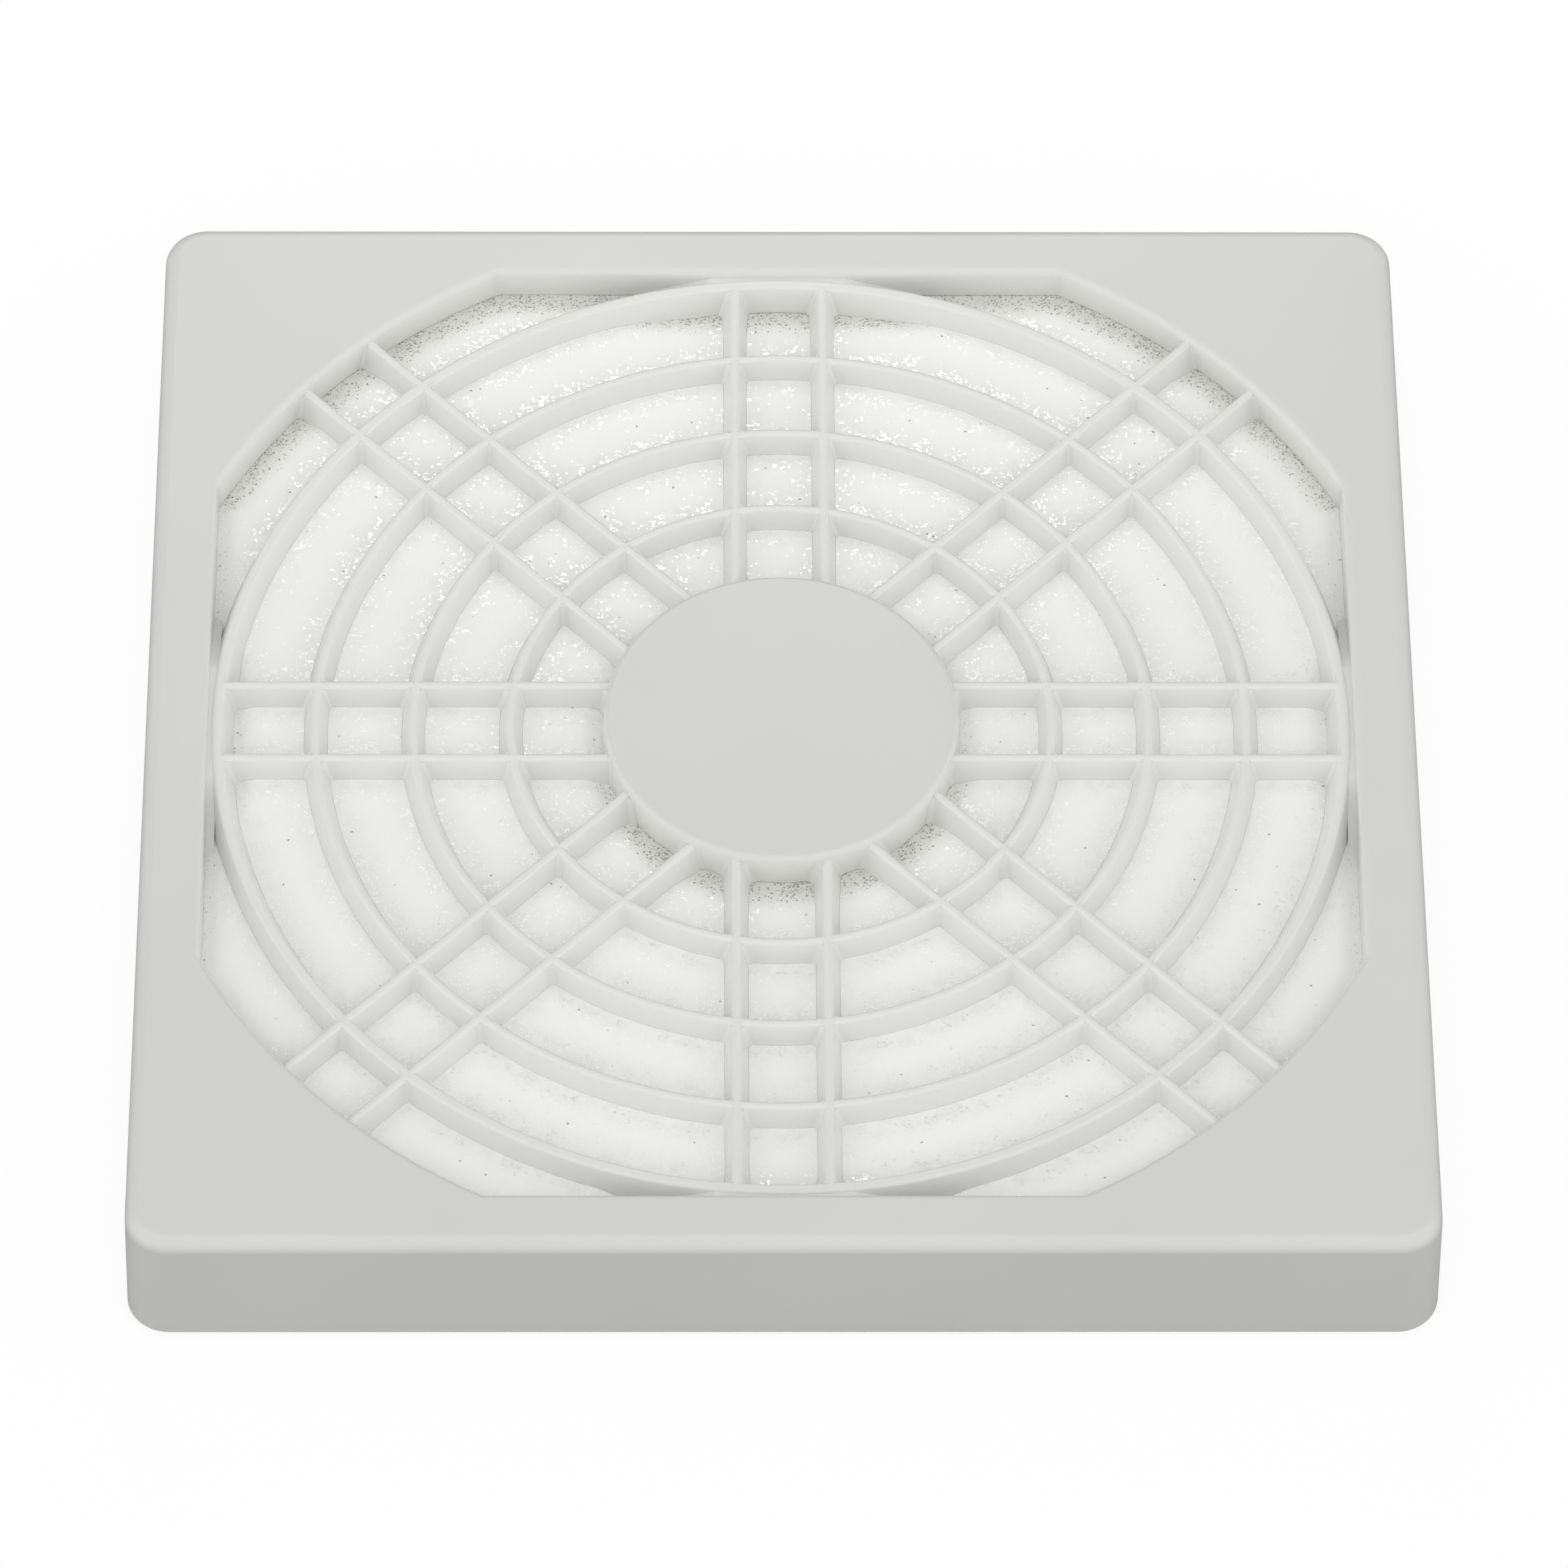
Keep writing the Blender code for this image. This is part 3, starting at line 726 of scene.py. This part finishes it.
def square_block(name, half, bottom, top, corner, collection=None, edge=0.0):
    """A block with round corners whose sides lean in by the draft. half is its size at the bottom."""
    bm = bmesh.new()
    bmesh.ops.create_cube(bm, size=2.0)
    for vert in bm.verts:
        level = top if vert.co.z > 0 else bottom
        reach = half - (level - bottom) * math.tan(SIDE_DRAFT)
        vert.co = (reach * vert.co.x, reach * vert.co.y, level)
    upright = [e for e in bm.edges if abs(e.verts[0].co.z - e.verts[1].co.z) > LEVEL]
    bmesh.ops.bevel(
        bm, geom=upright, offset=corner, segments=CORNER_STEPS, profile=0.5,
        affect="EDGES", material=-1,
    )
    if edge:
        rim = [e for e in bm.edges if min(vert.co.z for vert in e.verts) > top - LEVEL]
        bmesh.ops.bevel(
            bm, geom=rim, offset=edge, segments=ROUNDING_STEPS, profile=0.5,
            affect="EDGES", material=-1,
        )
    bmesh.ops.recalc_face_normals(bm, faces=bm.faces)
    return scene_object(bm, name, collection)


print("cover", round(2 * COVER_HALF / MM, 2), "mm wide")

# %% The opening's outline
ARC_STEPS = 30


def opening_outline(bm, offset, height):
    """Four arcs joined by four flats, pushed outwards by an offset. Returns the loop's edges."""
    radius = OPENING_RADIUS + offset
    flat = math.acos((OPENING_HALF + offset) / radius)
    step = (math.pi / 2 - 2 * flat) / ARC_STEPS
    starts = [side * math.pi / 2 + flat for side in range(4)]
    turns = [start + step * count for start in starts for count in range(ARC_STEPS + 1)]
    verts = [bm.verts.new((radius * math.cos(turn), radius * math.sin(turn), height)) for turn in turns]
    return [bm.edges.new(pair) for pair in zip(verts, verts[1:] + verts[:1])]


def stacked(name, levels, collection):
    """Bridges the opening's outline through levels of (offset, height), lowest first."""
    bm = bmesh.new()
    loops = [opening_outline(bm, offset, height) for offset, height in levels]
    for lower, upper in zip(loops, loops[1:]):
        bmesh.ops.bridge_loops(bm, edges=lower + upper)
    bmesh.ops.edgeloop_fill(bm, edges=loops[0] + loops[-1])
    bmesh.ops.recalc_face_normals(bm, faces=bm.faces)
    return scene_object(bm, name, collection)


print("opening", round(2 * OPENING_HALF / MM, 1), "mm between its flats")

# %% [markdown]
# ## The ridges of the snap
# Inside the walls there are four ridges, with a slope below and a flat top, which the base's hooks catch.
# Each is one flat section pulled along its wall, sunk a little into it so that the two join.

# %% Ridges inside the walls
COVER_WALL = 1.6 * MM
BEAD_TOP = 4.3 * MM
BEAD_HEIGHT = 1.3 * MM
BEAD_FLAT = 0.4 * MM
BEAD_REACH = 0.7 * MM
BEAD_ROOT = 0.4 * MM
BEAD_WIDTH = 12.0 * MM


def beads(collection):
    """Four ridges, each with a slope below and a flat top for a hook."""
    wall = COVER_HALF - COVER_WALL - BEAD_TOP * math.tan(SIDE_DRAFT)
    foot = BEAD_TOP - BEAD_HEIGHT
    section = [(wall + BEAD_ROOT, BEAD_TOP), (wall - BEAD_REACH, BEAD_TOP)]
    section += [(wall - BEAD_REACH, BEAD_TOP - BEAD_FLAT), (wall, foot), (wall + BEAD_ROOT, foot)]
    corners = [(x, -BEAD_WIDTH / 2, z) for x, z in section]
    four_bars("bead", corners, (0, BEAD_WIDTH, 0), collection)


print("ridges", round(BEAD_WIDTH / MM, 1), "mm long")

# %% [markdown]
# ## Put the cover together
# The order matters: the tray is hollowed, the lip is added, and the opening is cut through both. Only
# then does the grille go in, because the cut would otherwise take the ends of its spokes away.

# %% Build the cover
COVER_CORNER = 2.8 * MM
COVER_EDGE = 1.0 * MM
COVER_FACE = 1.8 * MM
OPENING_ROUNDING = 0.5 * MM
CUT_MARGIN = 1.0 * MM

cover = square_block("filter_cover", COVER_HALF, cover_low.z, COVER_TOP, COVER_CORNER, edge=COVER_EDGE)
hollow = tray("hollow")
square_block(
    "hollow", COVER_HALF - COVER_WALL + CUT_MARGIN * math.tan(SIDE_DRAFT), cover_low.z - CUT_MARGIN,
    COVER_TOP - COVER_FACE, COVER_CORNER - COVER_WALL, hollow,
)
lip = tray("lip")
stacked("lip", [(LIP_WALL, RIB_FOOT), (LIP_WALL, COVER_TOP - COVER_FACE / 2)], lip)
opening = tray("opening")
straight = COVER_TOP - OPENING_ROUNDING
low = RIB_FOOT - CUT_MARGIN
levels = [((low - straight) * math.tan(OPENING_DRAFT), low)]
levels += [(out, straight + rise) for out, rise in quarter_round(OPENING_ROUNDING)]
levels += [(OPENING_ROUNDING, COVER_TOP + CUT_MARGIN)]
stacked("opening", levels, opening)
combine(cover, "DIFFERENCE", hollow)
combine(cover, "UNION", lip)
combine(cover, "DIFFERENCE", opening)
combine(cover, "UNION", grille)
snaps = tray("snaps")
beads(snaps)
combine(cover, "UNION", snaps)
settle(cover, [hollow, lip, opening, grille, snaps])
shade(cover, cover_plastic)
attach(cover, "root")
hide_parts("outer_cover")

# %% [markdown]
# ## The base guard
# The base is the hidden moulding that is screwed to the fan. Its solid already has the real form, with
# the tray walls, the snaps, the countersunk holes and the ring grid. Its mesh is loose triangles, so a
# copy is welded and shaded smooth where it is round.

# %% Dress the base
FACET_ANGLE = math.radians(0.5)

base = scene_object(bmesh.new(), "filter_base")
base.data = frame["nodes"]["base_guard"].data.copy()
bm = bmesh.new()
bm.from_mesh(base.data)
bmesh.ops.remove_doubles(bm, verts=bm.verts, dist=WELD)
bmesh.ops.dissolve_limit(bm, angle_limit=FACET_ANGLE, verts=bm.verts, edges=bm.edges)
bm.to_mesh(base.data)
print("base", len(bm.faces), "faces")
bm.free()
shade(base, base_plastic)
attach(base, "root")
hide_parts("base_guard")

# %% [markdown]
# ## The foam pad
# The pad is soft, and the ribs press into it, so it swells up round them in every gap of the grille. It
# sags beside the hub and the walls of the opening. A fine grid carries this relief, and each point's
# height follows from how far it is from the nearest rib and wall. The ribs' own shapes, grown by a
# hair, then cut their grooves, so the foam hugs each rib and stays just clear of it.

# %% Distances on the foam
RING_AT_FLAT = 1.5 * MM
SIDE_FLAT = (4 * MM, 9 * MM)
FRONT_FLAT = (7 * MM, 14 * MM)
FAR_AWAY = 1.0
SMALLEST_RADIUS = 0.1 * MM
RIB_FOOT_HALF = RIB_TOP_WIDTH / 2 + (RIB_TOP - RIB_FOOT) * math.tan(RIB_DRAFT)


def smooth_step(values, low, high):
    share = np.clip((values - low) / (high - low), 0, 1)
    return share * share * (3 - 2 * share)


def gap_to_ribs(x, y):
    """How far each point is from the nearest rib's foot, below zero under a rib."""
    radius = np.hypot(x, y)
    gaps = [np.abs(radius - ring_radius) - RIB_FOOT_HALF for ring_radius in RING_RADII]
    for count in range(8):
        angle = math.tau * count / 8
        along = x * -math.sin(angle) + y * math.cos(angle)
        across = x * math.cos(angle) + y * math.sin(angle)
        beside = np.abs(np.abs(across) - SPOKE_OFFSET) - RIB_FOOT_HALF
        reach = OPENING_RADIUS if count % 2 else RING_RADII[-1]
        gaps.append(np.where((along > 0) & (radius < reach), beside, FAR_AWAY))
    return np.min(gaps, axis=0)


def gap_to_walls(x, y):
    """How far each point is from the nearest wall, and how far that wall lies to the back.

    The walls are the hub's and the opening's. In the middle of each side the outer ring merges with the
    opening, so there the wall counts from the ring.
    """
    radius = np.maximum(np.hypot(x, y), SMALLEST_RADIUS)
    wide, long = np.abs(x), np.abs(y)
    flats = [OPENING_HALF - wide - RING_AT_FLAT * (1 - smooth_step(long, *SIDE_FLAT))]
    flats.append(OPENING_HALF - long - RING_AT_FLAT * (1 - smooth_step(wide, *FRONT_FLAT)))
    gaps = np.array([radius - HUB_RADIUS, OPENING_RADIUS - radius] + flats)
    slopes = np.array([-y / radius, y / radius, 0 * y, np.sign(y)])
    nearest = np.argmin(gaps, axis=0)
    return np.min(gaps, axis=0), np.take_along_axis(slopes, nearest[None], axis=0)[0]


print("a rib's foot is", round(2 * RIB_FOOT_HALF / MM, 2), "mm wide")

# %% The foam's relief
foam_low, foam_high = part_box("foam_pad")
FOAM_REST = RIB_FOOT - 0.06 * MM
FOAM_SWELL = 0.46 * MM
CROWN_SHARE = 0.08
CROWN_WIDTH = 1.6 * MM
SAG_WIDTH = 3.0 * MM
SAG_EDGE = 0.4 * MM
LIFT_EDGE = -0.2 * MM
DRAWN_TURNS = (-0.2, 0.9)
STRETCH_AND_SHADE_LEAST = 0.15
SQUEEZE_GLINT_SHADE_EDGE = 0.2 * MM
SQUEEZE_GLINT_SHADE_WIDTH = 2.0 * MM
SQUEEZE_GLINT_SHADE_LEAST = 0.25
SQUEEZE_GLINT_SHADE_BEHIND = 0.75
SQUEEZE_GLINT_SHADE_AHEAD = 0.35
SLOPE_STEP = 0.1 * MM


def foam_relief(x, y):
    """Heights of the foam's top, and where painted shade falls beside the walls and painted glints and
    shade beside the ribs.
    """
    beside_ribs = gap_to_ribs(x, y)
    beside_walls, backwards = gap_to_walls(x, y)
    crown = 1 - CROWN_SHARE + CROWN_SHARE * smooth_step(beside_ribs, 0, CROWN_WIDTH)
    drawn = smooth_step(backwards, *DRAWN_TURNS)
    reach = SAG_WIDTH * (0.5 + 0.5 * drawn)
    lift = smooth_step(beside_walls, LIFT_EDGE, reach)
    sag = 1 - smooth_step(beside_walls, SAG_EDGE, reach)
    # Painted shade beside the walls, most where the wall lies to the back, where the cells are also
    # stretched open.
    stretch_and_shade = sag * (STRETCH_AND_SHADE_LEAST + (1 - STRETCH_AND_SHADE_LEAST) * drawn)
    slope = gap_to_ribs(x, y + SLOPE_STEP) - gap_to_ribs(x, y - SLOPE_STEP)
    slope = slope / (2 * SLOPE_STEP)
    # Painted glints and shade beside the ribs, more behind a rib than in front of it.
    share = SQUEEZE_GLINT_SHADE_LEAST + SQUEEZE_GLINT_SHADE_BEHIND * np.clip(slope, 0, 1) + SQUEEZE_GLINT_SHADE_AHEAD * np.clip(-slope, 0, 1)
    squeeze_glint_and_shade = (1 - smooth_step(beside_ribs, SQUEEZE_GLINT_SHADE_EDGE, SQUEEZE_GLINT_SHADE_WIDTH)) * share * (1 - stretch_and_shade)
    return FOAM_REST + FOAM_SWELL * crown * lift, stretch_and_shade, squeeze_glint_and_shade


print("foam swells", round(FOAM_SWELL / MM, 2), "mm")

# %% Shape the foam
FOAM_STEPS = 160
FOAM_WAVE = 1.4 * MM
FOAM_WAVE_HEIGHT = 0.02 * MM

bm = bmesh.new()
bmesh.ops.create_grid(bm, x_segments=FOAM_STEPS, y_segments=FOAM_STEPS, size=foam_high.x)
border = [edge for edge in bm.edges if edge.is_boundary]
pulled = bmesh.ops.extrude_edge_only(bm, edges=border)
border = [item for item in pulled["geom"] if isinstance(item, bmesh.types.BMEdge)]
lowest = list({vert for edge in border for vert in edge.verts})
bmesh.ops.translate(bm, vec=(0, 0, foam_low.z - FOAM_REST), verts=lowest)
bmesh.ops.edgeloop_fill(bm, edges=border)
bmesh.ops.translate(bm, vec=(0, 0, FOAM_REST), verts=bm.verts)
bmesh.ops.recalc_face_normals(bm, faces=bm.faces)
pad = scene_object(bm, "filter_pad")


def vertex_places(mesh):
    flat = np.zeros(len(mesh.vertices) * 3)
    mesh.vertices.foreach_get("co", flat)
    return flat.reshape(-1, 3)


places = vertex_places(pad.data)
on_top = places[:, 2] > FOAM_REST - LEVEL
heights = foam_relief(places[:, 0], places[:, 1])[0]
waves = np.array([noise.noise(Vector(point) / FOAM_WAVE) for point in places])
places[:, 2] = np.where(on_top, heights + FOAM_WAVE_HEIGHT * waves, places[:, 2])
pad.data.vertices.foreach_set("co", places.ravel())
lowest_top, highest_top = places[on_top, 2].min(), places[:, 2].max()
print("foam heights", round(lowest_top / MM, 2), "to", round(highest_top / MM, 2), "mm")

# %% Press the ribs into the foam
RIB_CLEARANCE = 0.015 * MM
FOAM_SHARP_ANGLE = math.radians(50)

grooves = tray("grooves")
ribs(grooves, RIB_CLEARANCE)
crossings(grooves, RIB_CLEARANCE)
webs(grooves, RIB_CLEARANCE)
combine(pad, "DIFFERENCE", grooves)
settle(pad, [grooves])
places = vertex_places(pad.data)
# The pad's points keep where its painted shade and painted glints go.
for name, values in zip((FOAM_STRETCH_AND_SHADE, FOAM_SQUEEZE_GLINT_AND_SHADE), foam_relief(places[:, 0], places[:, 1])[1:]):
    attribute = pad.data.attributes.new(name, "FLOAT", "POINT")
    attribute.data.foreach_set("value", values.astype(np.float32))
pad.data.materials.clear()
pad.data.materials.append(foam_white)
pad.data.shade_smooth()
pad.data.set_sharp_from_angle(angle=FOAM_SHARP_ANGLE)
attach(pad, "root")
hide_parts("foam_pad")

# %% [markdown]
# ## Floor and light
# The guard lies on a pale sheet. The camera sees the sheet as clear white, as product photographs show
# it, while every other ray sees its plain grey, so it throws little light up at the sides. The dome is a
# studio tent: bright on both sides, even in front, and dark behind, which draws a thin darker line along
# the far edge of each rib. One small lamp behind makes the far side a little lighter than the near one.

# %% The floor
FLOOR_GREY = 0.28
FLOOR_WHITE = 0.98
FLOOR_GLOW = 0.90
FLOOR_HALF = 3.0

bm = bmesh.new()
bmesh.ops.create_grid(bm, x_segments=1, y_segments=1, size=FLOOR_HALF)
floor = scene_object(bm, "floor")
material, tree = new_material("floor_sheet")
seen = add_node(tree, "ShaderNodeLightPath").outputs["Is Camera Ray"]
sheet = mixed(tree, seen, opaque(FLOOR_GREY), opaque(FLOOR_WHITE))
matt = add_node(tree, "ShaderNodeBsdfDiffuse", {"Color": sheet})
glow = add_node(tree, "ShaderNodeEmission", {"Color": opaque(1.0), "Strength": 1.0})
share = product(tree, seen, FLOOR_GLOW)
both = add_node(tree, "ShaderNodeMixShader", {0: share, 1: matt.outputs[0], 2: glow.outputs[0]})
tree.links.new(both.outputs[0], tree.nodes["Material Output"].inputs["Surface"])
floor.data.materials.append(material)
print("floor", 2 * FLOOR_HALF, "m wide")

# %% The dome and the lamps
DOME_HORIZON = 1.15
DOME_OVERHEAD = 0.88
DOME_BACK_SHARE = 0.03
DOME_SIDE_GAIN = 1.65
DOME_SIDE_FROM = 0.30
LAMPS = {
    "back": (Vector((-0.008, 0.19, 0.17)), 0.10, 0.065),
    "overhead": (Vector((0.0, -0.05, 0.50)), 0.10, 0.06),
}

world = bpy.data.worlds.new("dome")
bpy.context.scene.world = world
world.use_nodes = True
tree = world.node_tree
direction = add_node(tree, "ShaderNodeTexCoord").outputs["Generated"]
parts = add_node(tree, "ShaderNodeSeparateXYZ", {"Vector": direction})
rise = ranged(tree, parts.outputs["Z"], 0.0, 1.0, DOME_HORIZON, DOME_OVERHEAD)
facing = ranged(tree, parts.outputs["Y"], 0.0, 1.0, 1.0, DOME_BACK_SHARE)
aside = add_node(tree, "ShaderNodeMath", {0: parts.outputs["X"]}, operation="ABSOLUTE").outputs[0]
sides = ranged(tree, aside, DOME_SIDE_FROM, 1.0, 1.0, DOME_SIDE_GAIN)
level = product(tree, product(tree, rise, facing), sides)
seen = add_node(tree, "ShaderNodeLightPath").outputs["Is Camera Ray"]
shown = add_node(tree, "ShaderNodeMix", {0: seen, 2: level, 3: 1.0}, data_type="FLOAT")
background = tree.nodes["Background"]
tree.links.new(shown.outputs[0], background.inputs["Strength"])
background.inputs["Color"].default_value = opaque(1.0)

for name, (lamp_place, size, power) in LAMPS.items():
    lamp_data = bpy.data.lights.new(name, "AREA")
    lamp_data.energy = power
    lamp_data.size = size
    lamp = bpy.data.objects.new(name, lamp_data)
    bpy.context.scene.collection.objects.link(lamp)
    lamp.location = lamp_place
    lamp.rotation_euler = (-lamp_place).to_track_quat("-Z", "Y").to_euler()
    print("lamp", name, round(lamp_place.length, 2), "m away")
bpy.context.scene.view_settings.view_transform = "Standard"
